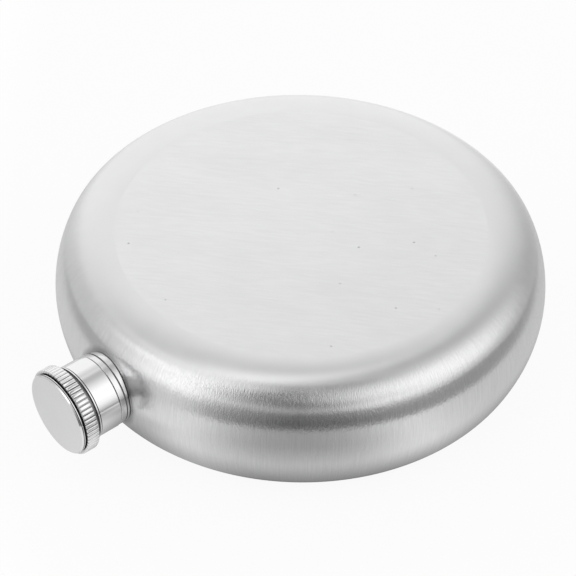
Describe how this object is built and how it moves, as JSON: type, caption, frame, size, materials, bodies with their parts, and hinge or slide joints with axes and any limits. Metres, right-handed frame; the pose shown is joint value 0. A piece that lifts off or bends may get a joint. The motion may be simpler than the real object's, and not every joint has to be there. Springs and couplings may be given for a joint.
{
  "type": "round hip flask",
  "caption": "Round flat steel flask with a bulging wall, flat faces and a side neck closed by a screw cap with a fluted grip ring; it carries liquid in a pocket.",
  "frame": {"origin": "centre of the flat back face, which the flask lies on", "axes": "+Z out of the front face, -Y along the neck towards the cap, +X to the right when the cap points at the viewer"},
  "size_m": [0.1, 0.1113, 0.0272],
  "materials": {
    "brushed_body": "stainless steel brushed to a fine satin, lines across the wall",
    "polished_fittings": "stainless steel turned and polished",
    "satin_disc": "stainless steel with a fine satin face and a bright chamfer",
    "moulded_liner": "moulded natural white polypropylene",
    "soft_seal": "translucent white silicone rubber, matt"
  },
  "bodies": {
    "flask": {"front_shell": "brushed_body", "back_shell": "brushed_body", "neck_collar": "polished_fittings", "neck_spout": "polished_fittings"},
    "seal": {"cap_seal": "soft_seal"},
    "cap": {"cap_sleeve": "polished_fittings", "cap_grip_ring": "polished_fittings", "cap_end_disc": "satin_disc", "cap_liner": "moulded_liner"}
  },
  "joints": [
    {"name": "cap_rise", "type": "slide", "parent": "flask", "child": "seal", "axis": [0, -1, 0], "range_m": [0, 0.008]},
    {"name": "cap_turn", "type": "hinge", "parent": "seal", "child": "cap", "pos_m": [0, -0.056, 0.0136], "axis": [0, -1, 0], "range_deg": [0, 1440]}
  ],
  "couplings": [
    {"joint": "cap_rise", "follows": "cap_turn", "m_per_rad": 0.00031831}
  ]
}
